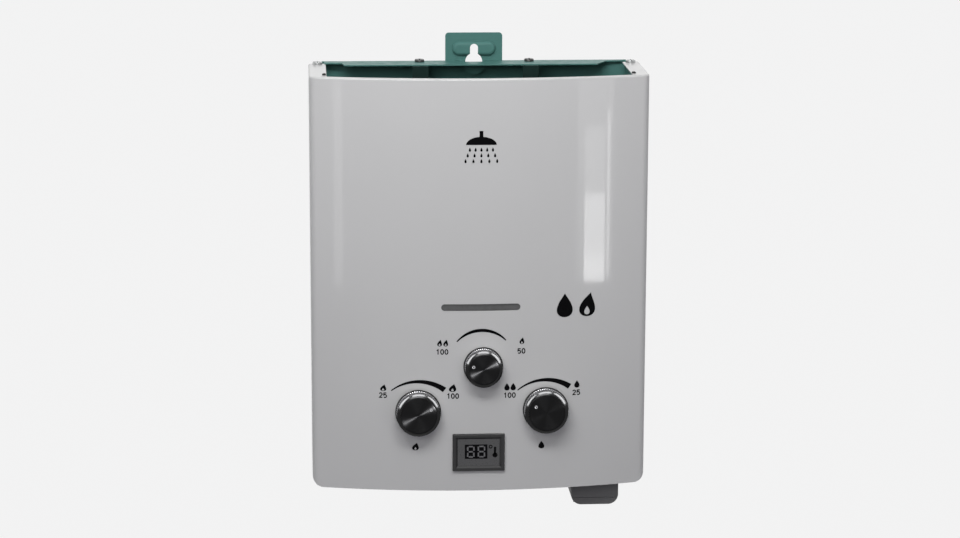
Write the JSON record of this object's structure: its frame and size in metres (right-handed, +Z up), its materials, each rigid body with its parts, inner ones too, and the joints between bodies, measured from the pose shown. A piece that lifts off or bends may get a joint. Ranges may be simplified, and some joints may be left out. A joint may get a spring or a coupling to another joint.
{
  "type": "portable gas water heater",
  "caption": "Wall-hung instantaneous gas water heater: bowed steel cover over a finned heat exchanger, with turning controls, a display window and a battery box.",
  "frame": {"origin": "centre of the round entry of the bracket's keyhole, on the wall plane", "axes": "+X to the right seen from the front, +Y into the wall, +Z up; the front faces -Y"},
  "size_m": [0.29, 0.121, 0.4085],
  "materials": {
    "cover_paint": "gloss",
    "chassis_paint": "satin",
    "knob_chrome": "polished",
    "knob_face": "spun",
    "bezel_plastic": "satin",
    "lens_plastic": "gloss",
    "battery_plastic": "matte",
    "module_plastic": "matte",
    "screw_steel": "black zinc",
    "steel": "satin",
    "brass": "satin",
    "copper": "satin",
    "castings": "cast",
    "mica": "smoked",
    "rubber": "matte",
    "cell_jacket": "gloss",
    "ceramic": "glazed"
  },
  "bodies": {
    "case": {"back_pan": "chassis_paint", "battery_box": "battery_plastic", "battery_cells": "cell_jacket", "battery_contacts": "steel", "battery_hinge_pin": "steel", "bottom_plate": "steel", "bracket_rivets": "chassis_paint", "burner_bars": "steel", "burner_tray": "steel", "chamber_stays": "steel", "cold_feed_pipe": "copper", "cold_inlet": "brass", "combustion_chamber": "copper", "connector_nuts": "brass", "diaphragm": "rubber", "diaphragm_cover": "castings", "diaphragm_screws": "steel", "display_bezel": "bezel_plastic", "display_lens": "lens_plastic", "display_module": "module_plastic", "drain_seal": "rubber", "flue_hood": "steel", "front_cover": "cover_paint", "gas_inlet": "brass", "gas_manifold": "castings", "gas_pipe": "steel", "gas_solenoid": "steel", "gas_valve": "castings", "hanging_bracket": "chassis_paint", "heat_exchanger_fins": "copper", "heat_exchanger_tube": "copper", "hot_outlet": "brass", "hot_pipe": "copper", "igniter_box": "module_plastic", "ignition_electrodes": "ceramic", "injectors": "brass", "microswitch": "module_plastic", "overheat_thermostat": "steel", "season_valve": "castings", "sheet_screws": "screw_steel", "valve_bridge": "steel", "viewing_window": "mica", "water_temperature_sensor": "steel", "water_valve": "castings", "window_retainer": "steel"},
    "season_dial": {"season_knob": "knob_chrome", "season_knob_face": "knob_face", "season_spindle": "brass"},
    "gas_dial": {"gas_knob": "knob_chrome", "gas_knob_face": "knob_face", "gas_spindle": "brass"},
    "water_dial": {"water_knob": "knob_chrome", "water_knob_face": "knob_face", "water_spindle": "brass"},
    "battery_door": {"battery_lid": "battery_plastic", "lid_contact": "steel"},
    "linkage_rod": {"push_rod": "steel"},
    "switch_arm": {"switch_lever": "steel"},
    "drain_tap": {"drain_plug": "module_plastic"}
  },
  "joints": [
    {"name": "season_dial_turn", "type": "hinge", "parent": "case", "child": "season_dial", "pos_m": [0.0021, -0.107, -0.2491], "axis": [0, 1, 0], "range_deg": [0, 110]},
    {"name": "gas_dial_turn", "type": "hinge", "parent": "case", "child": "gas_dial", "pos_m": [-0.0539, -0.107, -0.2892], "axis": [0, 1, 0], "range_deg": [-110, 0]},
    {"name": "water_dial_turn", "type": "hinge", "parent": "case", "child": "water_dial", "pos_m": [0.0563, -0.107, -0.2883], "axis": [0, 1, 0], "range_deg": [0, 110]},
    {"name": "battery_door_swing", "type": "hinge", "parent": "case", "child": "battery_door", "pos_m": [0.1028, -0.007, -0.3794], "axis": [1, 0, 0], "range_deg": [0, 85]},
    {"name": "linkage_rod_slide", "type": "slide", "parent": "case", "child": "linkage_rod", "axis": [-1, 0, 0], "range_m": [0, 0.004], "stiffness_N_per_m": 400, "springref_m": -0.003},
    {"name": "switch_arm_tilt", "type": "hinge", "parent": "case", "child": "switch_arm", "pos_m": [-0.01025, -0.04975, -0.27], "axis": [0, 1, 0], "range_deg": [0, 17.7]},
    {"name": "drain_tap_turn", "type": "hinge", "parent": "case", "child": "drain_tap", "pos_m": [0.038, -0.058, -0.349], "axis": [0, 0, -1], "range_deg": [0, 90]}
  ],
  "couplings": [
    {"joint": "switch_arm_tilt", "follows": "linkage_rod_slide", "rad_per_m": 74.2}
  ]
}
